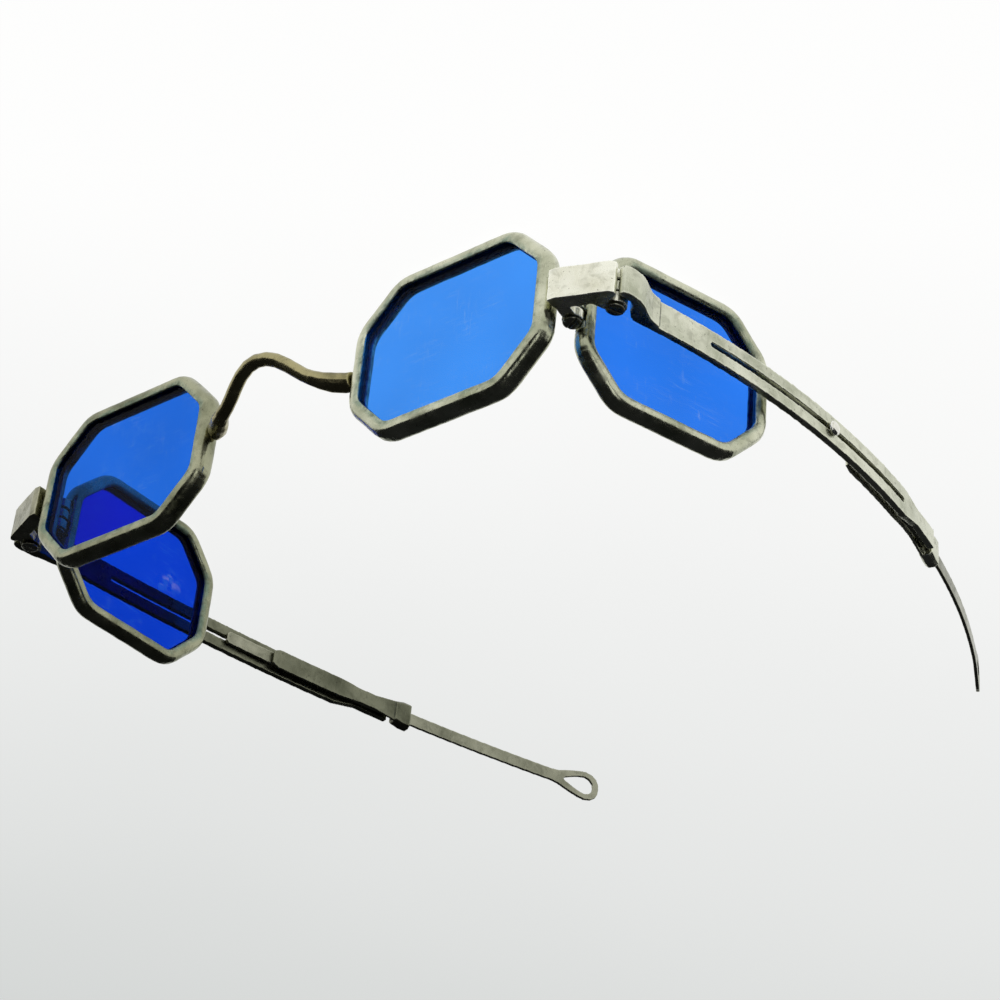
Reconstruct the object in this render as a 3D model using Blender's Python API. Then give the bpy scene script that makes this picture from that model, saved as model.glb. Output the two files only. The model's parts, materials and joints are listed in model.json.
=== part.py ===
"""Four-lens folding spectacles with sliding temples, lying upside down on the
upper edges of their rims.

Frame: +Z up, X across (wearer's right at +X), Y from the front lenses back
towards the temple ends.  Origin: bottom centre of the whole object, on the
surface that it lies on.  Lengths below are in millimetres, measured from the
centre plane of the front, and are moved to the origin and scaled to metres
when each mesh is made.

Heights called h are measured from the mid-height of the front lenses, so
world z = MID + h.  "w" is the distance outwards from the centre plane.
"""
import math

import bmesh
import bpy
from mathutils import Matrix, Vector
from mathutils.geometry import delaunay_2d_cdt

# ----------------------------------------------------------------------------
# driving dimensions (mm, degrees)
# ----------------------------------------------------------------------------
MM = 0.001
PUPIL_SPACING = 65.2      # centre to centre of the two front lenses
FRONT_W = 31.6            # front glass seen inside the rim
FRONT_H = 24.0
SIDE_W = 28.4             # side glass seen inside the rim
SIDE_H = 22.1
CHAMFER_X = 5.9           # octagon corner cut, along the width
CHAMFER_Z = 6.1           # octagon corner cut, along the height
CORNER_R = 3.0            # small radius on the octagon corners
RIM_WALL = 2.25           # rim, from glass opening to outer edge
FRONT_DEPTH = 3.5         # front rim, front to back
SIDE_DEPTH = 3.2          # side rim, front to back
FRONT_Y = 1.05            # middle of the front rims' depth
FRONT_GROOVE = -0.5       # the front glass sits forward of the middle of its rim
GROOVE_DEPTH = 0.8
GROOVE_W = 1.7
GLASS_T = 1.2
GLASS_BITE = 0.5          # how far the glass reaches into the groove
REST_FLAT = 1.0           # width of the flat along the crown of each rim

SIDE_AXIS_W = 51.4        # side-lens hinge axis
SIDE_AXIS_Y = 4.5
SIDE_LIP = 3.2            # hinge axis to the side glass opening
SIDE_ANGLE = {"left": 73.0, "right": 90.0}   # opened from the front plane
LEAN = 3.2                # the front leans back this much, onto the side rims' edges

TEMPLE_AXIS_W = 58.4      # temple hinge axis
TEMPLE_AXIS_Y = 5.2
TEMPLE_AXIS_TILT = 3.5    # both temple axes lean this way, so the folded arms pass
ARM_OFFSET = {"left": -0.9, "right": 1.45}   # arm centre line outwards of the hinge axis
ARM_START = {"left": 18.5, "right": -3.2}    # outward angle of the arm at the hinge
ARM_RADIUS = {"left": 151.0, "right": 375.0}  # plan radius that each temple is bent to

LUG_H = 5.4               # end piece height
KNUCKLE_GAP = 0.3
TONGUE_H = 1.6            # middle knuckle height
PIN_CLEAR = 0.3

ARM_T = 1.1
ARM_H = 4.8
ARM_END = 76.6            # along the arc from the hinge
NECK_H = 3.0
SLOT_W = 0.8
SLOT_FROM = 17.0
SLOT_TO = 65.0
SLIDE_GAP = 0.22
STRIP_T = 0.6
STRIP_H = 2.3
PLATE_T = 0.5
PLATE_FROM = 51.0
KEEPER_FROM = 77.4
KEEPER_TO = 80.6
STUD_AT = 43.5
STRIP_FROM = 41.5
LOOP_FROM = 112.5
LOOP_TO = 122.0

MID = FRONT_H / 2 + RIM_WALL          # lens mid-height above the surface
ORIGIN_X = -2.6           # origin, from the middle of the bridge
ORIGIN_Y = 59.05
FRONT_C = PUPIL_SPACING / 2
SIDES = {"left": -1.0, "right": 1.0}  # wearer's side and its sign on X

# ----------------------------------------------------------------------------
# clean start
# ----------------------------------------------------------------------------
for old in list(bpy.data.objects):
    bpy.data.objects.remove(old, do_unlink=True)

scene_coll = bpy.context.scene.collection


# ----------------------------------------------------------------------------
# materials
# ----------------------------------------------------------------------------
def material(name, rgb, rough, metal, alpha=1.0):
    mat = bpy.data.materials.new(name)
    mat.use_nodes = True
    bsdf = mat.node_tree.nodes["Principled BSDF"]
    bsdf.inputs["Base Color"].default_value = (rgb[0], rgb[1], rgb[2], 1.0)
    bsdf.inputs["Roughness"].default_value = rough
    bsdf.inputs["Metallic"].default_value = metal
    bsdf.inputs["Alpha"].default_value = alpha
    mat.diffuse_color = (rgb[0], rgb[1], rgb[2], 1.0)
    return mat


# ----------------------------------------------------------------------------
# mesh helpers
# ----------------------------------------------------------------------------
PIVOT = Vector((0, FRONT_Y, 0))
LEANING = Matrix.Rotation(math.radians(-LEAN), 3, "X")


def lean(p):
    """Position of an upright point once the front leans back on the side rims."""
    return PIVOT + LEANING @ (Vector(p) - PIVOT)


def finish(name, bm, mat, smooth=True, angle=35.0, location=(0, 0, 0)):
    """Turn a bmesh in upright millimetres into a leaning object whose origin is at
    location (mm)."""
    loc = lean(location)
    bmesh.ops.remove_doubles(bm, verts=bm.verts, dist=1e-4)
    for v in bm.verts:
        v.co = (lean(v.co) - loc) * MM
    bmesh.ops.recalc_face_normals(bm, faces=bm.faces)
    me = bpy.data.meshes.new(name)
    bm.to_mesh(me)
    bm.free()
    if smooth:
        me.shade_smooth()
        me.set_sharp_from_angle(angle=math.radians(angle))
    ob = bpy.data.objects.new(name, me)
    ob.location = (loc - Vector((ORIGIN_X, ORIGIN_Y, 0))) * MM
    if mat is not None:
        me.materials.append(mat)
    scene_coll.objects.link(ob)
    return ob


def boolean(ob, tool, op):
    """Join or cut with a helper solid that stays hidden."""
    tool.hide_render = True
    tool.display_type = "WIRE"
    mod = ob.modifiers.new("use_" + tool.name, "BOOLEAN")
    mod.operation = op
    mod.solver = "EXACT"
    mod.object = tool


def loft(bm, rings, close=True, cap=True):
    """Skin a list of closed rings of equal length."""
    vr = [[bm.verts.new(p) for p in ring] for ring in rings]
    n = len(vr[0])
    pairs = list(zip(vr[:-1], vr[1:]))
    if close:
        pairs.append((vr[-1], vr[0]))
    for a, b in pairs:
        for i in range(n):
            j = (i + 1) % n
            bm.faces.new((a[i], a[j], b[j], b[i]))
    if cap and not close:
        bm.faces.new(vr[0])
        bm.faces.new(vr[-1])


def inside(poly, x, y):
    hit = False
    for (x0, y0), (x1, y1) in zip(poly, poly[1:] + poly[:1]):
        if (y0 > y) != (y1 > y) and x < (x1 - x0) * (y - y0) / (y1 - y0) + x0:
            hit = not hit
    return hit


def plate(bm, outer, holes, put, t0, t1):
    """Closed plate: a 2D outline with holes, from thickness t0 to t1, placed by
    put(a, b, t)."""
    pts, edges = [], []
    for loop in [outer] + holes:
        k = len(pts)
        pts += [Vector(p) for p in loop]
        edges += [(k + i, k + (i + 1) % len(loop)) for i in range(len(loop))]
    vs, _, fs, *_ = delaunay_2d_cdt(pts, edges, [], 0, 1e-6)
    keep = []
    for f in fs:
        cx = sum(vs[i][0] for i in f) / len(f)
        cy = sum(vs[i][1] for i in f) / len(f)
        if inside(outer, cx, cy) and not any(inside(h, cx, cy) for h in holes):
            keep.append(f)
    low = [bm.verts.new(put(p[0], p[1], t0)) for p in vs]
    top = [bm.verts.new(put(p[0], p[1], t1)) for p in vs]
    count = {}
    for f in keep:
        bm.faces.new([top[i] for i in f])
        bm.faces.new([low[i] for i in reversed(f)])
        for i, j in zip(f, list(f[1:]) + [f[0]]):
            key = (min(i, j), max(i, j))
            count[key] = count.get(key, 0) + 1
    for (i, j), c in count.items():
        if c == 1:
            bm.faces.new((low[i], low[j], top[j], top[i]))
    for v in low + top:
        if not v.link_faces:
            bm.verts.remove(v)


def circle(cx, cy, r, n, phase=0.0):
    return [(cx + r * math.cos(phase + 2 * math.pi * i / n),
             cy + r * math.sin(phase + 2 * math.pi * i / n)) for i in range(n)]


def turned(bm, profile, centre, axis_dir, n=18):
    """Solid of revolution: profile is (radius, height) along axis_dir from centre.
    The first and last radii are 0 or are capped."""
    c = Vector(centre)
    z = Vector(axis_dir).normalized()
    x = Vector((1, 0, 0)) - z * z.x
    x.normalize()
    y = z.cross(x)
    rings = []
    for r, h in profile:
        rings.append([c + z * h + (x * math.cos(2 * math.pi * i / n) +
                                   y * math.sin(2 * math.pi * i / n)) * r
                      for i in range(n)])
    loft(bm, rings, close=False)


def box(bm, centre, size, rot=None):
    m = Matrix.Translation(Vector(centre))
    if rot is not None:
        m = m @ rot
    m = m @ Matrix.Diagonal((size[0], size[1], size[2], 1.0))
    bmesh.ops.create_cube(bm, size=1.0, matrix=m)


# ----------------------------------------------------------------------------
# octagonal outline with rounded corners, as arc centres and directions
# ----------------------------------------------------------------------------
def octagon(width, height, steps=4):
    cx = CHAMFER_X * width / FRONT_W
    cz = CHAMFER_Z * height / FRONT_H
    a, b = width / 2, height / 2
    corners = [(a, -b + cz), (a, b - cz), (a - cx, b), (-a + cx, b),
               (-a, b - cz), (-a, -b + cz), (-a + cx, -b), (a - cx, -b)]
    out = []
    n = len(corners)
    for i in range(n):
        p = Vector(corners[i])
        before = (p - Vector(corners[i - 1])).normalized()
        after = (Vector(corners[(i + 1) % n]) - p).normalized()
        n0 = Vector((before.y, -before.x))
        n1 = Vector((after.y, -after.x))
        half = n0.angle(n1) / 2
        bis = (n0 + n1).normalized()
        centre = p - bis * (CORNER_R / math.cos(half))
        a0 = math.atan2(n0.y, n0.x)
        turn = 2 * half
        for k in range(steps + 1):
            t = a0 + turn * k / steps
            out.append((centre, Vector((math.cos(t), math.sin(t)))))
    return out


def rim_section(depth, groove):
    """Rim cross-section as (outward, depth): grooved inside, rounded outside with
    a narrow flat along its crown, which lies level once the front leans back."""
    cone = math.tan(math.radians(LEAN)) * REST_FLAT / 2
    d, g, lip = depth / 2, GROOVE_W / 2, 0.32
    front, back = groove - g - lip, groove + g + lip
    swell = 1.0
    pts = [(0.1, front), (0.0, front + 0.1), (0.0, groove - g), (GROOVE_DEPTH, groove - g),
           (GROOVE_DEPTH, groove + g), (0.0, groove + g), (0.0, back - 0.1), (0.1, back)]
    for deg in (25, 55, 90):
        t = math.radians(deg)
        pts.append((swell - (swell - 0.1) * math.cos(t), back + (d - back) * math.sin(t)))
    curve = []
    for deg in (68, 50, 36, 25):
        t = math.radians(deg)
        curve.append((swell + (RIM_WALL - swell) * math.cos(t) ** 0.9, d * math.sin(t) ** 0.9))
    pts += curve
    pts.append((RIM_WALL - cone, REST_FLAT / 2))
    pts.append((RIM_WALL + cone, -REST_FLAT / 2))
    pts += [(u, -v) for u, v in reversed(curve)]
    for deg in (90, 55, 25):
        t = math.radians(deg)
        pts.append((swell - (swell - 0.1) * math.cos(t), front + (-d - front) * math.sin(t)))
    return pts


def rim_mesh(bm, width, height, depth, groove, place):
    sec = rim_section(depth, groove)
    rings = []
    for c, d in octagon(width, height):
        rings.append([place(c.x + (CORNER_R + u) * d.x, v, c.y + (CORNER_R + u) * d.y)
                      for u, v in sec])
    loft(bm, rings, close=True)


def glass_mesh(bm, width, height, groove, place):
    loops = []
    for v, cut in ((-GLASS_T / 2, 0.2), (-GLASS_T / 2 + 0.2, 0.0),
                   (GLASS_T / 2 - 0.2, 0.0), (GLASS_T / 2, 0.2)):
        loops.append([place(c.x + (CORNER_R + GLASS_BITE - cut) * d.x, groove + v,
                            c.y + (CORNER_R + GLASS_BITE - cut) * d.y)
                      for c, d in octagon(width, height)])
    loft(bm, loops, close=False)


# ----------------------------------------------------------------------------
# placing functions
# ----------------------------------------------------------------------------
def world(sign, w, y, h):
    return Vector((sign * w, y, MID + h))


def front_place(sign):
    return lambda a, v, b: Vector((sign * FRONT_C + a, FRONT_Y + v, MID + b))


def side_place(sign, angle, rise):
    """Side lens: a = along the lens from its middle, v = its depth."""
    t = math.radians(angle)

    def put(a, v, b):
        r = SIDE_LIP + SIDE_W / 2 + a
        w = SIDE_AXIS_W + r * math.cos(t) - v * math.sin(t)
        y = SIDE_AXIS_Y + r * math.sin(t) + v * math.cos(t)
        return world(sign, w, y, b + rise)
    return put


def side_rise(sign, angle):
    """Height of the side lens centre above the front's, so that its rim just
    touches the surface once the front leans back."""
    put = side_place(sign, angle, 0.0)
    slope = math.tan(math.radians(LEAN))
    gap = []
    for c, d in octagon(SIDE_W, SIDE_H):
        for u, v in rim_section(SIDE_DEPTH, 0.0):
            p = put(c.x + (CORNER_R + u) * d.x, v, c.y + (CORNER_R + u) * d.y)
            gap.append(p.z - (p.y - FRONT_Y) * slope)
    return -min(gap)


def arc_frame(side):
    """Centre, in (w, y), of the arc that a temple is bent to, and its start angle."""
    a = math.radians(ARM_START[side])
    r = ARM_RADIUS[side]
    cw = TEMPLE_AXIS_W + (ARM_OFFSET[side] - r) * math.cos(a)
    cy = TEMPLE_AXIS_Y - (ARM_OFFSET[side] - r) * math.sin(a)
    return cw, cy, a, r


def along(side):
    """put(s, h, t): s along the arc from the hinge, h up, t outwards of the arm's
    centre line."""
    sign = SIDES[side]
    cw, cy, a, r = arc_frame(side)

    def put(s, h, t):
        g = s / r - a
        return world(sign, cw + (r + t) * math.cos(g), cy + (r + t) * math.sin(g), h)
    return put


def at_hinge(side):
    """put(p, q, h): p outwards and q back from the temple hinge, turned with the arm."""
    sign = SIDES[side]
    a = math.radians(ARM_START[side])

    def put(p, q, h):
        w = TEMPLE_AXIS_W + p * math.cos(a) + q * math.sin(a)
        y = TEMPLE_AXIS_Y - p * math.sin(a) + q * math.cos(a)
        return world(sign, w, y, h)
    return put


def tilt_dir():
    t = math.radians(TEMPLE_AXIS_TILT)
    return Vector((math.sin(t), 0, math.cos(t)))


def keyhole(cx, cy, r, tx, ty, half, n=14):
    """Outline of a knuckle: a round end at (cx, cy) with a web running to (tx, ty)."""
    d = Vector((tx - cx, ty - cy))
    length = d.length
    d.normalize()
    side = Vector((-d.y, d.x))
    base = math.atan2(d.y, d.x)
    gap = math.asin(min(1.0, half / r))
    out = []
    for k in range(n + 1):
        t = base + gap + (2 * math.pi - 2 * gap) * k / n
        out.append((cx + r * math.cos(t), cy + r * math.sin(t)))
    for sgn in (-1, 1):
        p = Vector((cx, cy)) + d * length + side * (half * sgn)
        out.append((p.x, p.y))
    return out


def stations(a, b, step):
    n = max(1, int(math.ceil(abs(b - a) / step)))
    return [a + (b - a) * i / n for i in range(n + 1)]


def strip_outline(profile, step=4.0):
    """Outline (s, h) symmetric about h = 0 from (s, half-height) knots."""
    top = []
    for (s0, h0), (s1, h1) in zip(profile[:-1], profile[1:]):
        for s in stations(s0, s1, step)[:-1]:
            f = (s - s0) / (s1 - s0)
            f = f * f * (3 - 2 * f)
            top.append((s, h0 + (h1 - h0) * f))
    top.append(profile[-1])
    return top + [(s, -h) for s, h in reversed(top)]


# ----------------------------------------------------------------------------
# front: rims, glasses and bridge
# ----------------------------------------------------------------------------
NICKEL = (0.46, 0.46, 0.38)
BLUE = (0.02, 0.12, 0.72)

for side, sign in SIDES.items():
    bm = bmesh.new()
    rim_mesh(bm, FRONT_W, FRONT_H, FRONT_DEPTH, FRONT_GROOVE, front_place(sign))
    finish("front_rim_" + side, bm, material("front_rim_metal_" + side, NICKEL, 0.38, 1.0),
           location=(sign * FRONT_C, FRONT_Y, MID))
    bm = bmesh.new()
    glass_mesh(bm, FRONT_W, FRONT_H, FRONT_GROOVE, front_place(sign))
    finish("front_lens_" + side, bm, material("front_lens_blue_" + side, BLUE, 0.08, 0.0, 0.75),
           location=(sign * FRONT_C, FRONT_Y, MID), angle=25)

# bridge wire: its route from left to right as (x, y, h)
BRIDGE = [(-14.25, 1.0, 0.8), (-13.0, 0.5, 0.9), (-11.6, -0.6, 0.95), (-10.2, -1.75, 0.8),
          (-9.0, -2.5, 0.3), (-7.8, -2.95, -0.4), (-6.6, -3.5, -1.3), (-5.2, -4.2, -2.4),
          (-3.6, -4.9, -3.45), (-1.8, -5.4, -4.15), (0.0, -5.55, -4.4), (1.8, -5.4, -4.15),
          (3.6, -4.9, -3.45), (5.2, -4.2, -2.4), (6.6, -3.5, -1.3), (7.8, -2.95, -0.45),
          (9.0, -2.5, 0.0), (10.2, -1.75, 0.0), (11.6, -0.6, -0.3), (13.0, 0.5, -0.7),
          (14.25, 1.0, -0.9)]
bm = bmesh.new()
route = [Vector((x, y, MID + h)) for x, y, h in BRIDGE]
rings = []
for i, p in enumerate(route):
    q0 = route[max(0, i - 1)]
    q1 = route[min(len(route) - 1, i + 1)]
    tan = (q1 - q0).normalized()
    if i in (0, len(route) - 1):
        tan = Vector((1, 0, 0))
    e1 = tan.cross(Vector((0, 1, 0))).normalized()
    e2 = tan.cross(e1)
    rad = 1.1 + 0.45 * min(1.0, max(0.0, (abs(p.x) - 8.5) / 3.5))
    rings.append([p + (e1 * math.cos(2 * math.pi * k / 14) + e2 * math.sin(2 * math.pi * k / 14)) * rad
                  for k in range(14)])
loft(bm, rings, close=False)
finish("bridge", bm, material("bridge_metal", (0.47, 0.46, 0.36), 0.36, 1.0), location=(0, 0, MID), angle=60)

# ----------------------------------------------------------------------------
# end pieces, side lenses, temples
# ----------------------------------------------------------------------------
rim_edge = FRONT_C + FRONT_W / 2 + RIM_WALL
half_lug = LUG_H / 2
half_tongue = TONGUE_H / 2
SIDE_KNUCKLE_R = 1.55
TEMPLE_KNUCKLE_R = 1.6
PIN_R = 0.5

for side, sign in SIDES.items():
    # --- end piece: plate from the rim out to the temple hinge, with two pairs of knuckles
    outline = [(rim_edge + 0.35, -1.05), (rim_edge + 1.6, -1.0), (rim_edge + 7.4, 1.15),
               (rim_edge + 8.9, 1.75), (rim_edge + 9.45, 2.3), (rim_edge + 9.3, 3.0),
               (rim_edge + 8.6, 3.3), (rim_edge + 6.4, 3.3), (rim_edge + 5.4, 2.9),
               (rim_edge + 1.9, 1.7), (rim_edge + 0.35, 1.7)]

    bm = bmesh.new()
    plate(bm, outline, [], lambda a, b, t: world(sign, a, b, t), -half_lug, half_lug)
    lug = finish("end_piece_" + side, bm,
                 material("end_piece_metal_" + side, (0.55, 0.54, 0.45), 0.34, 1.0),
                 location=(sign * rim_edge, 0, MID), angle=40)
    tilt = math.tan(math.radians(TEMPLE_AXIS_TILT))
    for level, (h0, h1) in (("upper", (half_tongue + KNUCKLE_GAP, half_lug)),
                            ("lower", (-half_lug, -half_tongue - KNUCKLE_GAP))):
        bm = bmesh.new()
        plate(bm, keyhole(SIDE_AXIS_W, SIDE_AXIS_Y, SIDE_KNUCKLE_R,
                          SIDE_AXIS_W + 0.75, 0.9, 1.0),
              [circle(SIDE_AXIS_W, SIDE_AXIS_Y, PIN_R + PIN_CLEAR, 14)],
              lambda a, b, t: world(sign, a, b, t), h0, h1)
        tool = finish("add_side_knuckle_%s_%s" % (level, side), bm, None)
        boolean(lug, tool, "UNION")
        bm = bmesh.new()
        plate(bm, keyhole(TEMPLE_AXIS_W, TEMPLE_AXIS_Y, TEMPLE_KNUCKLE_R,
                          TEMPLE_AXIS_W - 1.1, 2.4, 1.3),
              [circle(TEMPLE_AXIS_W, TEMPLE_AXIS_Y, PIN_R + PIN_CLEAR, 14)],
              lambda a, b, t: world(sign, a + sign * tilt * t, b, t), h0, h1)
        tool = finish("add_temple_knuckle_%s_%s" % (level, side), bm, None)
        boolean(lug, tool, "UNION")

    # --- side rim with its middle knuckle
    place = side_place(sign, SIDE_ANGLE[side], side_rise(sign, SIDE_ANGLE[side]))
    axis_loc = (sign * SIDE_AXIS_W, SIDE_AXIS_Y, MID)
    bm = bmesh.new()
    rim_mesh(bm, SIDE_W, SIDE_H, SIDE_DEPTH, 0.0, place)
    rim = finish("side_rim_" + side, bm, material("side_rim_metal_" + side, NICKEL, 0.38, 1.0),
                 location=axis_loc)
    bm = bmesh.new()
    clear_r = SIDE_KNUCKLE_R + KNUCKLE_GAP
    turned(bm, [(clear_r, -half_lug - 0.5), (clear_r, half_lug + 0.9)],
           world(sign, SIDE_AXIS_W, SIDE_AXIS_Y, 0), (0, 0, 1), n=24)
    tool = finish("cut_ear_room_" + side, bm, None)
    boolean(rim, tool, "DIFFERENCE")
    bm = bmesh.new()
    t = math.radians(SIDE_ANGLE[side])
    reach = SIDE_LIP - GROOVE_DEPTH - 0.15
    plate(bm, keyhole(SIDE_AXIS_W, SIDE_AXIS_Y, SIDE_KNUCKLE_R,
                      SIDE_AXIS_W + reach * math.cos(t), SIDE_AXIS_Y + reach * math.sin(t), 1.0),
          [circle(SIDE_AXIS_W, SIDE_AXIS_Y, PIN_R + PIN_CLEAR, 14)],
          lambda a, b, h: world(sign, a, b, h), -half_tongue, half_tongue)
    tool = finish("add_rim_knuckle_" + side, bm, None)
    boolean(rim, tool, "UNION")

    bm = bmesh.new()
    glass_mesh(bm, SIDE_W, SIDE_H, 0.0, place)
    finish("side_lens_" + side, bm, material("side_lens_blue_" + side, BLUE, 0.08, 0.0, 0.75),
           location=axis_loc, angle=25)

    # --- slotted hinge screws
    for name, aw, ay, adir, head in (
            ("side_hinge_screw_", SIDE_AXIS_W, SIDE_AXIS_Y, Vector((0, 0, 1)), 1.4),
            ("temple_hinge_screw_", TEMPLE_AXIS_W, TEMPLE_AXIS_Y, tilt_dir(), 1.4)):
        c = world(sign, aw, ay, 0)
        bm = bmesh.new()
        top = half_lug + 0.2
        turned(bm, [(PIN_R, -half_lug), (PIN_R, top), (head, top), (head, top + 0.2),
                    (head * 0.8, top + 0.4)], c, adir, n=20)
        screw = finish(name + side, bm, material(name + "metal_" + side, (0.42, 0.41, 0.35), 0.35, 1.0),
                       location=c)
        bm = bmesh.new()
        rot = adir.to_track_quat("Z", "Y").to_matrix().to_4x4() @ Matrix.Rotation(math.radians(25), 4, "Z")
        box(bm, c + adir * (top + 0.4), (head * 2.4, 0.4, 0.5), rot)
        tool = finish("cut_slot_" + name + side, bm, None, smooth=False)
        boolean(screw, tool, "DIFFERENCE")

    # --- temple arm: root that wraps the hinge, flat bar with its long slot
    put = along(side)
    off = ARM_OFFSET[side]
    loc = (sign * TEMPLE_AXIS_W, TEMPLE_AXIS_Y, MID)
    bm = bmesh.new()
    start = 2.6 if off > 0 else 3.6
    outline = strip_outline([(start, ARM_H / 2), (SLOT_FROM, ARM_H / 2), (65.5, ARM_H / 2),
                             (70.0, NECK_H / 2), (ARM_END, NECK_H / 2 + 0.2)])
    half_slot = SLOT_W / 2
    slot = [(s, half_slot) for s in stations(SLOT_FROM + half_slot, SLOT_TO - half_slot, 4.0)]
    slot += [(SLOT_TO - half_slot + half_slot * math.sin(math.radians(d)),
              half_slot * math.cos(math.radians(d))) for d in (45, 90, 135)]
    slot += [(s, -half_slot) for s in stations(SLOT_TO - half_slot, SLOT_FROM + half_slot, 4.0)]
    slot += [(SLOT_FROM + half_slot - half_slot * math.sin(math.radians(d)),
              -half_slot * math.cos(math.radians(d))) for d in (45, 90, 135)]
    plate(bm, outline, [slot], put, -ARM_T / 2, ARM_T / 2)
    arm = finish("temple_arm_" + side, bm,
                 material("temple_arm_metal_" + side, (0.52, 0.51, 0.42), 0.36, 1.0), location=loc, angle=40)
    hinge_put = at_hinge(side)
    bm = bmesh.new()
    if off > 0:
        shoulder = [(1.95, -1.7), (2.45, -1.65), (2.85, -1.35), (3.1, -0.8), (3.2, 0.0), (3.1, 1.0),
                    (2.95, 2.4), (2.6, 3.6), (2.25, 4.8), (off + 0.6, 6.4), (off - 0.45, 6.4),
                     (off - 0.55, 3.4), (off - 0.4, 2.3), (1.4, 1.6)]
    else:
        shoulder = [(1.95, -1.2), (2.5, -1.15), (2.95, -0.85), (3.15, -0.2), (3.15, 0.5), (3.0, 1.3),
                    (2.75, 2.2), (2.1, 3.4), (1.2, 4.5), (0.4, 5.6), (off + 0.65, 7.4),
                     (off - 0.45, 7.4), (off - 0.5, 4.6), (off - 0.3, 3.2), (0.0, 2.2), (1.0, 1.9)]
    shoulder += [(1.75, 1.0), (1.93, 0.2), (1.95, -0.7)]
    plate(bm, shoulder, [], lambda a, b, t: hinge_put(a, b, t), -ARM_H / 2, ARM_H / 2)
    tool = finish("add_shoulder_" + side, bm, None)
    boolean(arm, tool, "UNION")
    bm = bmesh.new()
    plate(bm, keyhole(0.0, 0.0, TEMPLE_KNUCKLE_R, 2.1, 1.7, 1.2),
          [circle(0.0, 0.0, PIN_R + PIN_CLEAR, 14)],
          lambda a, b, t: hinge_put(a, b, t) + Vector((tilt * t, 0, 0)), -half_tongue, half_tongue)
    tool = finish("add_temple_tongue_" + side, bm, None)
    boolean(arm, tool, "UNION")

    # --- keeper: backing plate, neck and the square loop that guides the extension
    strip_c = -(ARM_T / 2 + SLIDE_GAP + STRIP_T / 2)          # t of the strip's centre
    plate_out = strip_c - STRIP_T / 2 - SLIDE_GAP
    plate_in = plate_out - PLATE_T
    bm = bmesh.new()
    outline = strip_outline([(PLATE_FROM, 1.2), (PLATE_FROM + 1.2, 1.75),
                             (65.5, 1.75), (70.0, NECK_H / 2 - 0.15), (73.0, NECK_H / 2 - 0.15),
                             (KEEPER_FROM + 0.6, 2.0), (KEEPER_TO - 0.4, 2.05)], step=3.5)
    plate(bm, outline, [], put, plate_in, plate_out)
    keeper = finish("keeper_" + side, bm,
                    material("keeper_metal_" + side, (0.45, 0.45, 0.38), 0.38, 1.0),
                    location=put(KEEPER_TO, 0, 0), angle=40)
    bm = bmesh.new()
    in_h = STRIP_H / 2 + 0.35
    hi_t = strip_c + STRIP_T / 2 + SLIDE_GAP
    ring_out, ring_in = [], []
    for s in stations(KEEPER_FROM, KEEPER_TO, 1.7):
        f = min(1.0, (s - KEEPER_FROM) / 1.7)
        oh, c = 2.1 + 0.4 * f, 0.55
        lo, hi = plate_in - 0.2, hi_t + 0.5
        ring_out.append([(s, h, t) for h, t in (
            (-oh, hi - c), (-oh, lo + c), (-oh + c, lo), (oh - c, lo),
            (oh, lo + c), (oh, hi - c), (oh - c, hi), (-oh + c, hi))])
        lo, hi, c = plate_out - 0.2, hi_t, 0.12
        ring_in.append([(s, h, t) for h, t in (
            (-in_h, hi - c), (-in_h, lo + c), (-in_h + c, lo), (in_h - c, lo),
            (in_h, lo + c), (in_h, hi - c), (in_h - c, hi), (-in_h + c, hi))])
    vo = [[bm.verts.new(put(*p)) for p in r] for r in ring_out]
    vi = [[bm.verts.new(put(*p)) for p in r] for r in ring_in]
    for grid in (vo, vi):
        for a, b in zip(grid[:-1], grid[1:]):
            for i in range(8):
                bm.faces.new((a[i], a[(i + 1) % 8], b[(i + 1) % 8], b[i]))
    for a, b in ((vo[0], vi[0]), (vo[-1], vi[-1])):
        for i in range(8):
            bm.faces.new((a[i], a[(i + 1) % 8], b[(i + 1) % 8], b[i]))
    tool = finish("add_keeper_loop_" + side, bm, None, smooth=False)
    boolean(keeper, tool, "UNION")

    # --- extension: strip with the teardrop loop at its end
    half_s = STRIP_H / 2
    upper = [(s, half_s) for s in stations(STRIP_FROM + 0.5, LOOP_FROM - 1.0, 4.0)]
    loop_len = LOOP_TO - LOOP_FROM
    teardrop = [(0.08, 1.3), (0.22, 1.75), (0.38, 2.2), (0.55, 2.6), (0.7, 2.8), (0.84, 2.55),
                (0.94, 1.9), (0.99, 1.0)]
    upper += [(LOOP_FROM + f * loop_len, h) for f, h in teardrop]
    outline = [(STRIP_FROM, half_s - 0.5)] + upper + [(LOOP_TO, 0.0)]
    outline += [(s, -h) for s, h in reversed(upper)] + [(STRIP_FROM, -half_s + 0.5)]
    eye_half = [(0.25, 0.35), (0.4, 0.95), (0.55, 1.45), (0.69, 1.7), (0.79, 1.45), (0.86, 0.8)]
    eye = [(LOOP_FROM + f * loop_len, h) for f, h in eye_half]
    eye = [(LOOP_FROM + 0.2 * loop_len, 0.0)] + eye + [(LOOP_FROM + 0.88 * loop_len, 0.0)]
    eye += [(LOOP_FROM + f * loop_len, -h) for f, h in reversed(eye_half)]
    bm = bmesh.new()
    plate(bm, outline, [eye], put, strip_c - STRIP_T / 2, strip_c + STRIP_T / 2)
    cw, cy, _, _ = arc_frame(side)
    finish("extension_" + side, bm,
           material("extension_metal_" + side, (0.44, 0.43, 0.36), 0.36, 1.0),
           location=(sign * cw, cy, MID), angle=40)

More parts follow.
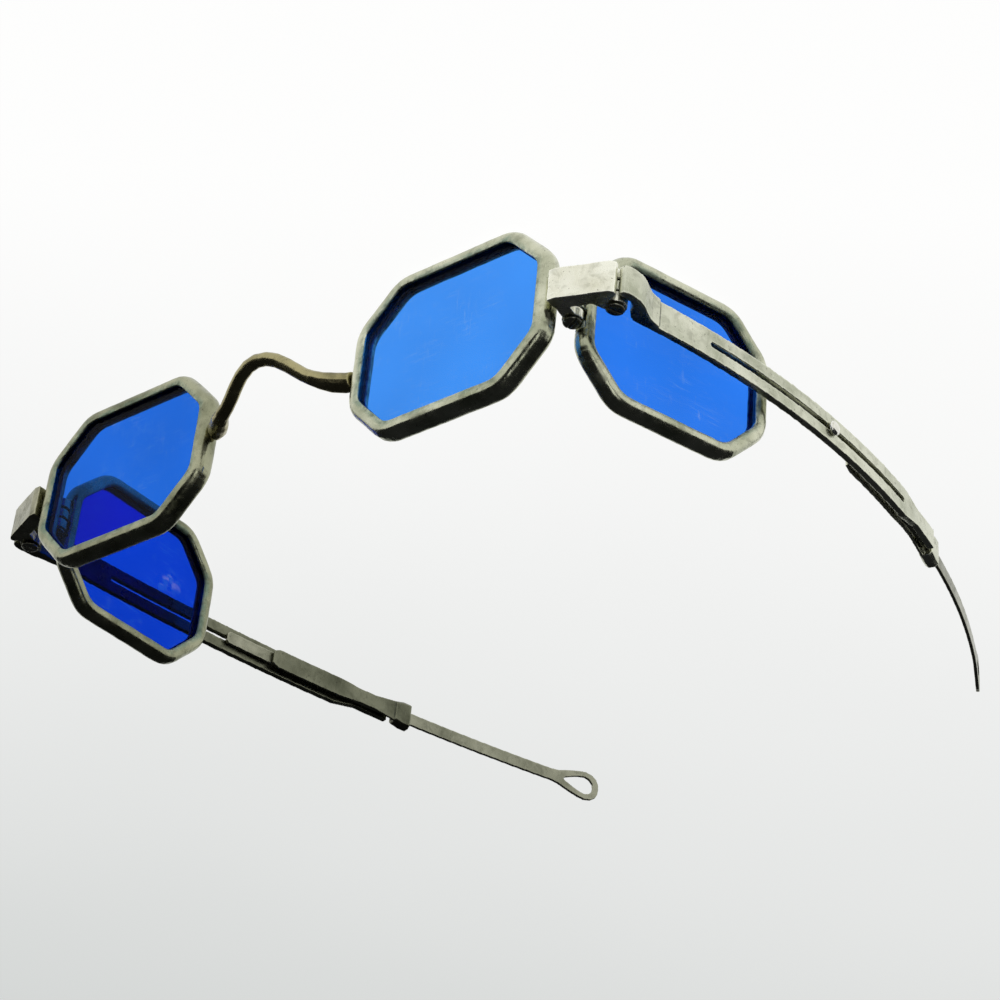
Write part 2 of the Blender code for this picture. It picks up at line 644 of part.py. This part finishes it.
    # --- slide stud that rides in the slot
    bm = bmesh.new()
    base = put(STUD_AT, 0, 0)
    out = (put(STUD_AT, 0, 1.0) - base).normalized()
    low = -ARM_T / 2 - 0.02
    face = ARM_T / 2 + 0.25
    turned(bm, [(0.25, low), (0.25, face), (1.15, face), (1.15, face + 0.3), (0.7, face + 0.6)],
           base, out, n=14)
    finish("slide_stud_" + side, bm, material("slide_stud_metal_" + side, (0.6, 0.6, 0.52), 0.3, 1.0),
           location=base)
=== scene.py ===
"""Four-lens folding spectacles lying upside down on a pale, luminous surface."""
import json
import math

import bpy
import bmesh
import numpy as np
from mathutils import Matrix, Vector, noise


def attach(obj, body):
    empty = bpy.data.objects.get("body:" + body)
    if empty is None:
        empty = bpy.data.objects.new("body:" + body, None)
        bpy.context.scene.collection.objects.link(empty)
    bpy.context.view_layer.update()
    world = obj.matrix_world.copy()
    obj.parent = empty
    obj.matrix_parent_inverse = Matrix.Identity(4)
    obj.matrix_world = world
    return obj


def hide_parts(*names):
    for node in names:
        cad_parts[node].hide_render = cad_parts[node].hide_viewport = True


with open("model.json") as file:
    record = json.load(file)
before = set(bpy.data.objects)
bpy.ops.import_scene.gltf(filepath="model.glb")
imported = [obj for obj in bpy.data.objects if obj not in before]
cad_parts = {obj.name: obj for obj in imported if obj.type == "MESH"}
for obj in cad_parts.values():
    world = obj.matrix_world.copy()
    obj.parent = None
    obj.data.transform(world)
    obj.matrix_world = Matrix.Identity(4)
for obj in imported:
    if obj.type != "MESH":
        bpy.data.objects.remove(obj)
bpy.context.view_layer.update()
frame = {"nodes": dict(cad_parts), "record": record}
NODES = frame["nodes"]
BODY_OF = {n: b for b, ns in frame["record"]["behaviour"]["bodies"].items() for n in ns}
JOINT = {j["name"]: j for j in frame["record"]["behaviour"]["joints"]}
SIDES = {"left": -1.0, "right": 1.0}
scene = bpy.context.scene
coll = scene.collection

# rim sizes, in millimetres, and how far the upright front leans back
LIP = {"front": (31.6, 24.0), "side": (28.4, 22.1)}
SIDE_ANGLE = {"left": 73.0, "right": 90.0}
PIVOT_Y = 1.05 - 59.05
UNLEAN = Matrix.Rotation(math.radians(3.2), 3, "X")


def upright(co):
    """Millimetre points as they are with the front upright."""
    rel = co - np.array((0.0, PIVOT_Y, 0.0))
    return rel @ np.array(UNLEAN).T + np.array((0.0, PIVOT_Y, 0.0))



# ----------------------------------------------------------------------------
# node helpers
# ----------------------------------------------------------------------------
class Nodes:
    def __init__(self, name):
        self.mat = bpy.data.materials.new(name)
        self.mat.use_nodes = True
        self.t = self.mat.node_tree
        self.bsdf = self.t.nodes["Principled BSDF"]
        self.coord = self.add("ShaderNodeTexCoord").outputs["Object"]

    def add(self, kind, **props):
        n = self.t.nodes.new(kind)
        for k, v in props.items():
            setattr(n, k, v)
        return n

    def link(self, a, b):
        self.t.links.new(a, b)

    def mapped(self, scale, rot=(0, 0, 0), loc=(0, 0, 0)):
        m = self.add("ShaderNodeMapping")
        m.inputs["Scale"].default_value = scale
        m.inputs["Rotation"].default_value = rot
        m.inputs["Location"].default_value = loc
        self.link(self.coord, m.inputs["Vector"])
        return m.outputs["Vector"]

    def noise(self, scale, detail=3.0, rough=0.55, vec=None, distort=0.0):
        n = self.add("ShaderNodeTexNoise")
        n.inputs["Scale"].default_value = scale
        n.inputs["Detail"].default_value = detail
        n.inputs["Roughness"].default_value = rough
        n.inputs["Distortion"].default_value = distort
        self.link(vec if vec is not None else self.coord, n.inputs["Vector"])
        return n.outputs["Fac"]

    def ramp(self, fac, stops):
        r = self.add("ShaderNodeValToRGB")
        e = r.color_ramp.elements
        while len(e) < len(stops):
            e.new(0.5)
        for el, (p, c) in zip(e, stops):
            el.position = p
            el.color = (c, c, c, 1) if isinstance(c, (int, float)) else (*c, 1)
        self.link(fac, r.inputs["Fac"])
        return r.outputs["Color"]

    def mix(self, fac, a, b, mode="MIX"):
        m = self.add("ShaderNodeMix", data_type="RGBA", blend_type=mode)
        for sock, v in ((m.inputs[0], fac), (m.inputs[6], a), (m.inputs[7], b)):
            if isinstance(v, (int, float)):
                sock.default_value = v
            elif isinstance(v, tuple):
                sock.default_value = (*v, 1)
            else:
                self.link(v, sock)
        return m.outputs[2]

    def math(self, op, a, b=0.0, clamp=False):
        m = self.add("ShaderNodeMath", operation=op, use_clamp=clamp)
        for sock, v in ((m.inputs[0], a), (m.inputs[1], b)):
            if isinstance(v, (int, float)):
                sock.default_value = v
            else:
                self.link(v, sock)
        return m.outputs[0]

    def attr(self, name):
        a = self.add("ShaderNodeAttribute", attribute_name=name)
        return a.outputs["Fac"]

    def bump(self, height, strength, dist):
        b = self.add("ShaderNodeBump")
        b.inputs["Strength"].default_value = strength
        b.inputs["Distance"].default_value = dist
        self.link(height, b.inputs["Height"])
        self.link(b.outputs["Normal"], self.bsdf.inputs["Normal"])


def metal(name, light, mid, dark, rough=(0.2, 0.36), green=0.6, seed=0.0):
    """Tarnished nickel silver: soft tone changes, convex edges lightened as partly rubbed wear and partly painted
    highlight, concave hollows darkened towards near-black, verdigris beside the glass, hairline scratches and small
    pits."""
    n = Nodes(name)
    off = (seed, seed * 0.7, -seed * 1.3)
    base = n.mapped((1, 1, 1), loc=off)
    tone = n.ramp(n.noise(150, 3, 0.55, base), [(0.34, mid), (0.62, light)])
    blotch = n.ramp(n.noise(480, 4, 0.7, base, 0.6), [(0.36, 1.0), (0.5, 0.0)])
    col = n.mix(n.math("MULTIPLY", blotch, 0.22), tone, dark)
    # convex edges lightened: partly rubbed wear, partly a painted highlight along the crests
    edge = n.ramp(n.attr("edge"), [(0.15, 0.0), (0.7, 1.0)])
    col = n.mix(n.math("MULTIPLY", edge, 0.7), col, tuple(min(1.0, c * 1.15) for c in light))
    # concave hollows darkened towards near-black, as computed from surface curvature
    cav = n.ramp(n.attr("cavity"), [(0.12, 0.0), (0.65, 1.0)])
    col = n.mix(n.math("MULTIPLY", cav, 0.85), col, (0.03, 0.032, 0.022))
    lip = n.attr("lip")
    patch = n.ramp(n.noise(330, 4, 0.7, base), [(0.42, 0.15), (0.58, 1.0)])
    vg = n.math("MULTIPLY", n.math("MULTIPLY", lip, patch), green, True)
    col = n.mix(vg, col, (0.20, 0.36, 0.27))
    grime = n.math("MULTIPLY", n.ramp(n.noise(1000, 3, 0.6, base), [(0.5, 0.0), (0.66, 1.0)]), lip)
    col = n.mix(n.math("MULTIPLY", grime, 0.6), col, (0.05, 0.05, 0.03))
    s1 = n.noise(1.0, 2, 0.5, n.mapped((260, 7000, 420), (0.3, 0.2, 0.5), off))
    s2 = n.noise(1.0, 2, 0.5, n.mapped((7400, 300, 700), (0.1, 0.6, 0.9), off))
    s3 = n.noise(1.0, 2, 0.5, n.mapped((420, 520, 6800), (0.4, 0.1, 0.2), off))
    hair = n.math("ADD", n.ramp(s1, [(0.63, 0.0), (0.68, 1.0)]), n.ramp(s2, [(0.64, 0.0), (0.69, 1.0)]), True)
    hair = n.math("ADD", hair, n.ramp(s3, [(0.65, 0.0), (0.7, 1.0)]), True)
    col = n.mix(n.math("MULTIPLY", hair, 0.3), col, tuple(min(1.0, c * 1.1) for c in light))
    pits = n.ramp(n.noise(1700, 3, 0.65, base), [(0.27, 1.0), (0.36, 0.0)])
    col = n.mix(n.math("MULTIPLY", pits, 0.7), col, (0.04, 0.038, 0.026))
    n.link(col, n.bsdf.inputs["Base Color"])
    r = n.ramp(n.noise(600, 4, 0.6, base), [(0.3, rough[0]), (0.7, rough[1])])
    r2 = n.mix(n.math("MAXIMUM", cav, n.math("MULTIPLY", blotch, 0.35)), r, (0.7, 0.7, 0.7))
    n.link(n.mix(vg, r2, (0.8, 0.8, 0.8)), n.bsdf.inputs["Roughness"])
    low = n.math("MAXIMUM", n.math("MULTIPLY", vg, 0.8), n.math("MULTIPLY", cav, 0.6))
    n.link(n.math("SUBTRACT", 1.0, low, True), n.bsdf.inputs["Metallic"])
    hgt = n.math("SUBTRACT", n.math("MULTIPLY", n.noise(800, 3, 0.6, base), 0.7),
                 n.math("ADD", n.math("MULTIPLY", pits, 0.6), n.math("MULTIPLY", hair, 0.25)))
    n.bump(hgt, 0.3, 0.00005)
    return n.mat


def glass(name, tint, seed=0.0):
    """Clear blue glass with a faintly uneven tone and fine handling scratches."""
    n = Nodes(name)
    off = (seed, seed * 0.4, seed * 0.9)
    base = n.mapped((1, 1, 1), loc=off)
    soft = n.ramp(n.noise(45, 2, 0.5, base), [(0.25, 0.0), (0.75, 1.0)])
    col = n.mix(soft, tuple(c * 0.88 for c in tint), tuple(min(1.0, c * 1.1) for c in tint))
    s = []
    for k, (sc, rot) in enumerate((((220, 220, 5200), (0.2, 0.9, 0.3)), ((4800, 260, 260), (0.5, 0.5, 0.4)),
                                   ((300, 300, 4200), (0.1, -0.7, 1.1)))):
        f = n.noise(1.0, 2, 0.45, n.mapped(sc, rot, (seed + k, 0, 0)))
        s.append(n.ramp(f, [(0.665, 0.0), (0.70, 1.0)]))
    lines = n.math("ADD", n.math("ADD", s[0], s[1], True), s[2], True)
    where = n.ramp(n.noise(130, 2, 0.5, base), [(0.42, 0.0), (0.62, 1.0)])
    lines = n.math("MULTIPLY", lines, where)
    specks = n.ramp(n.noise(2600, 2, 0.5, base), [(0.70, 0.0), (0.74, 1.0)])
    marks = n.math("MAXIMUM", n.math("MULTIPLY", lines, 0.8), n.math("MULTIPLY", specks, 0.5))
    col = n.mix(n.math("MULTIPLY", marks, 0.5), col, tuple(min(1.0, c * 0.5 + 0.35) for c in tint))
    n.link(col, n.bsdf.inputs["Base Color"])
    n.link(n.ramp(marks, [(0.0, 0.0), (1.0, 0.2)]), n.bsdf.inputs["Roughness"])
    n.bsdf.inputs["Transmission Weight"].default_value = 1.0
    n.bsdf.inputs["IOR"].default_value = 1.09
    n.bump(n.math("ADD", n.math("MULTIPLY", n.noise(160, 1, 0.4, base), 0.6), n.math("MULTIPLY", lines, -0.05)),
           0.06, 0.0002)
    return n.mat


# ----------------------------------------------------------------------------
# worn metal pieces: the CAD node's own shape, resampled finely, with rounded
# edges and slight hammer marks, and with its edges and hollows marked
# ----------------------------------------------------------------------------
def worn(node, mat, voxel=0.14, passes=4, dent=0.02, dent_scale=1.6, lip=None, seed=0.0):
    src = NODES[node]
    me = src.data.copy()
    me.transform(src.matrix_world)
    me.transform(Matrix.Scale(1000.0, 4))
    tmp = bpy.data.objects.new("tmp_" + node, me)
    coll.objects.link(tmp)
    bm = bmesh.new()
    bm.from_mesh(me)
    bmesh.ops.remove_doubles(bm, verts=bm.verts, dist=1e-5)
    bm.to_mesh(me)
    bm.free()
    mod = tmp.modifiers.new("fine", "REMESH")
    mod.mode = "VOXEL"
    mod.voxel_size = voxel
    mod.adaptivity = 0.0
    dg = bpy.context.evaluated_depsgraph_get()
    ev = tmp.evaluated_get(dg)
    out = bpy.data.meshes.new_from_object(ev, depsgraph=dg)
    bpy.data.objects.remove(tmp, do_unlink=True)
    nv = len(out.vertices)
    co = np.empty(nv * 3)
    out.vertices.foreach_get("co", co)
    co = co.reshape(-1, 3)
    ed = np.empty(len(out.edges) * 2, dtype=np.int64)
    out.edges.foreach_get("vertices", ed)
    a, b = ed[0::2], ed[1::2]
    deg = np.bincount(a, minlength=nv) + np.bincount(b, minlength=nv)
    deg = np.maximum(deg, 1)[:, None]

    def mean(x):
        s = np.zeros_like(x)
        np.add.at(s, a, x[b])
        np.add.at(s, b, x[a])
        return s / deg

    for _ in range(passes):
        co += 0.55 * (mean(co) - co)
        co -= 0.35 * (mean(co) - co)
    out.vertices.foreach_set("co", co.ravel())
    out.update()
    nor = np.empty(nv * 3)
    out.vertices.foreach_get("normal", nor)
    nor = nor.reshape(-1, 3)
    flat = co.copy()
    for _ in range(3):
        flat += 0.6 * (mean(flat) - flat)
    bend = ((co - flat) * nor).sum(1) / voxel
    for _ in range(2):
        bend = 0.5 * bend + 0.5 * mean(bend[:, None])[:, 0]
    shift = np.array([dent * (noise.noise(Vector(p) / dent_scale + Vector((seed, 0, seed)))
                              + 0.45 * noise.noise(Vector(p) / (dent_scale * 0.37) + Vector((0, seed, 3)))
                              - 0.35) for p in co])
    co = co + nor * shift[:, None]
    out.vertices.foreach_set("co", (co / 1000.0).ravel())
    for name, val in (("edge", np.clip(bend * 5.0, 0, 1)), ("cavity", np.clip(-bend * 6.0, 0, 1)),
                      ("lip", lip(co) if lip else np.zeros(nv))):
        at = out.attributes.new(name, "FLOAT", "POINT")
        at.data.foreach_set("value", val.astype(np.float32))
    out.materials.clear()
    out.materials.append(mat)
    out.update()
    out.shade_smooth()
    ob = bpy.data.objects.new(node + "_worn", out)
    coll.objects.link(ob)
    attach(ob, BODY_OF[node])
    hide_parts(node)
    return ob


def lip_mask(kind, side):
    """How near a point is to the glass opening of its rim, from 0 to 1."""
    w, h = LIP[kind]
    cx, cz = 5.9 * w / 31.6, 6.1 * h / 24.0
    lens = NODES[kind + "_lens_" + side]
    pts = np.array([lens.matrix_world @ v.co for v in lens.data.vertices]) * 1000.0
    pts = upright(pts)
    mid = (pts.min(axis=0) + pts.max(axis=0)) / 2
    sg = SIDES[side]
    if kind == "front":
        ax = np.array((1.0, 0, 0))
    else:
        t = math.radians(SIDE_ANGLE[side])
        ax = np.array((sg * math.cos(t), math.sin(t), 0))
    diag = math.hypot(cx, cz)

    def mask(co):
        co = upright(co)
        a = np.abs((co - mid) @ ax)
        b = np.abs(co[:, 2] - mid[2])
        d = np.maximum(np.maximum(a - w / 2, b - h / 2),
                       ((a - (w / 2 - cx)) * cz + (b - h / 2) * cx) / diag)
        return np.clip(1.25 - d / 0.75, 0, 1)
    return mask


# ----------------------------------------------------------------------------
# finishes, with the left and right metals and lenses in painted lit and shaded copies
# ----------------------------------------------------------------------------
DEEP = (0.07, 0.072, 0.045)
# painted light: one nickel silver in two copies, the left rims, end pieces and temples painted lighter as lit and the
# right ones painted darker as shaded
rim_metal_lit_and_shaded = {"left": metal("rim_nickel_left_painted_lit", (0.62, 0.63, 0.48), (0.31, 0.33, 0.22), DEEP, (0.14, 0.28), seed=0.0),
             "right": metal("rim_nickel_right_painted_shaded", (0.38, 0.385, 0.26), (0.15, 0.16, 0.095), DEEP, (0.14, 0.28), seed=1.7)}
plate_metal_lit_and_shaded = {"left": metal("end_piece_nickel_left_painted_lit", (0.88, 0.88, 0.76), (0.70, 0.69, 0.55), (0.24, 0.24, 0.16), (0.2, 0.34), 0.1, seed=3.1),
               "right": metal("end_piece_nickel_right_painted_shaded", (0.40, 0.39, 0.28), (0.18, 0.18, 0.12), DEEP, (0.2, 0.36), 0.3, seed=3.4)}
arm_metal_lit_and_shaded = {"left": metal("temple_nickel_left_painted_lit", (0.68, 0.69, 0.56), (0.40, 0.42, 0.31), (0.12, 0.125, 0.08), (0.2, 0.36), 0.25, seed=4.2),
             "right": metal("temple_nickel_right_painted_shaded", (0.21, 0.215, 0.15), (0.09, 0.095, 0.062), DEEP, (0.22, 0.38), 0.25, seed=5.9)}
strip_metal = metal("extension_nickel", (0.36, 0.36, 0.27), (0.18, 0.185, 0.13), DEEP, (0.18, 0.34), 0.2, seed=7.3)
wire_metal = metal("bridge_nickel", (0.40, 0.36, 0.19), (0.19, 0.17, 0.085), DEEP, (0.16, 0.3), 0.15, seed=8.8)
screw_metal = metal("screw_steel", (0.34, 0.34, 0.27), (0.17, 0.17, 0.13), (0.05, 0.05, 0.035), (0.2, 0.34), 0.1, seed=9.4)
stud_metal = metal("stud_nickel", (0.93, 0.92, 0.85), (0.74, 0.73, 0.64), DEEP, (0.14, 0.26), 0.0, seed=2.6)

# painted light: one blue glass in four copies, the left lenses tinted lighter as lit and the right lenses tinted darker
# as shaded, the right side lens darkest
lens_glass_lit_and_shaded = {"front_lens_left": glass("glass_front_left_painted_lit", (0.050, 0.285, 0.94), 0.3),
           "front_lens_right": glass("glass_front_right_painted_shaded", (0.011, 0.150, 0.77), 1.9),
           "side_lens_left": glass("glass_side_left_painted_lit", (0.026, 0.200, 0.88), 3.3),
           "side_lens_right": glass("glass_side_right_painted_shaded", (0.001, 0.048, 0.66), 4.7)}
for node, mat in lens_glass_lit_and_shaded.items():
    ob = NODES[node]
    for i in range(len(ob.material_slots)):
        ob.material_slots[i].material = mat

for k, s in enumerate(SIDES):
    worn("front_rim_" + s, rim_metal_lit_and_shaded[s], 0.15, 6, 0.035, 2.2, lip_mask("front", s), seed=k)
    worn("side_rim_" + s, rim_metal_lit_and_shaded[s], 0.15, 6, 0.035, 2.2, lip_mask("side", s), seed=k + 5)
    worn("end_piece_" + s, plate_metal_lit_and_shaded[s], 0.11, 4, 0.045, 1.5, seed=k + 2)
    worn("temple_arm_" + s, arm_metal_lit_and_shaded[s], 0.15, 3, 0.03, 2.4, seed=k + 3)
    worn("keeper_" + s, arm_metal_lit_and_shaded[s], 0.12, 3, 0.03, 1.6, seed=k + 4)
    worn("extension_" + s, strip_metal, 0.12, 3, 0.02, 1.8, seed=k + 6)
    worn("slide_stud_" + s, stud_metal, 0.09, 3, 0.015, 1.0, seed=k + 7)
    worn("side_hinge_screw_" + s, screw_metal, 0.09, 2, 0.012, 1.0, seed=k + 8)
    worn("temple_hinge_screw_" + s, screw_metal, 0.09, 2, 0.012, 1.0, seed=k + 9)
worn("bridge", wire_metal, 0.13, 5, 0.035, 2.5, seed=11)

# ----------------------------------------------------------------------------
# luminous pale table, dim surroundings
# ----------------------------------------------------------------------------
bm = bmesh.new()
bmesh.ops.create_grid(bm, x_segments=8, y_segments=8, size=1.5)
me = bpy.data.meshes.new("table")
bm.to_mesh(me)
bm.free()
table = bpy.data.objects.new("table", me)
table.location = (0, 0, -0.0002)
coll.objects.link(table)
n = Nodes("table_glow_painted_falloff")
geo = n.add("ShaderNodeMapping")
geo.inputs["Scale"].default_value = (1, 1, 1)
n.link(n.coord, geo.inputs["Vector"])
sep = n.add("ShaderNodeSeparateXYZ")
n.link(geo.outputs["Vector"], sep.inputs["Vector"])
# painted light falloff: the table's glow is brighter towards -X and -Y and dimmer towards +X and +Y, with a faint
# random unevenness
painted_glow_falloff = n.math("ADD", n.math("MULTIPLY", sep.outputs["X"], -0.5), n.math("MULTIPLY", sep.outputs["Y"], -0.5))
painted_glow_falloff = n.math("ADD", painted_glow_falloff, n.math("MULTIPLY", n.noise(5, 2, 0.4), 0.08))
shade = n.ramp(n.math("ADD", painted_glow_falloff, 0.5), [(0.36, (0.63, 0.65, 0.64)), (0.60, (0.985, 0.985, 0.98))])
n.bsdf.inputs["Base Color"].default_value = (0.06, 0.06, 0.06, 1)
n.link(shade, n.bsdf.inputs["Emission Color"])
n.bsdf.inputs["Emission Strength"].default_value = 1.0
n.bsdf.inputs["Roughness"].default_value = 0.9
n.bsdf.inputs["Specular IOR Level"].default_value = 0.0
me.materials.append(n.mat)

world = bpy.data.worlds.new("surroundings")
world.use_nodes = True
world.node_tree.nodes["Background"].inputs["Color"].default_value = (0.85, 0.9, 1.0, 1)
world.node_tree.nodes["Background"].inputs["Strength"].default_value = 0.02
scene.world = world


def area(name, where, target, size, power):
    li = bpy.data.lights.new(name, "AREA")
    li.shape = "DISK"
    li.size = size
    li.energy = power
    ob = bpy.data.objects.new(name, li)
    ob.location = where
    ob.rotation_euler = (Vector(target) - Vector(where)).to_track_quat("-Z", "Y").to_euler()
    coll.objects.link(ob)
    return ob


area("soft_front", (-0.75, -0.55, 0.35), (0, 0, 0.01), 0.5, 0.7)

# ----------------------------------------------------------------------------
# camera
# ----------------------------------------------------------------------------
cam_data = bpy.data.cameras.new("camera")
cam_data.lens = 94.2
cam_data.sensor_width = 36.0
cam_data.clip_start = 0.01
cam = bpy.data.objects.new("camera", cam_data)
cx, cy, cz = (-0.7824, 0.6120, -0.1157), (-0.2872, -0.5193, -0.8049), (-0.5527, -0.5965, 0.5820)
cam.matrix_world = Matrix(((cx[0], cy[0], cz[0], -0.23290), (cx[1], cy[1], cz[1], -0.26167),
                           (cx[2], cy[2], cz[2], 0.24720), (0, 0, 0, 1)))
coll.objects.link(cam)
scene.camera = cam
scene.view_settings.view_transform = "Standard"
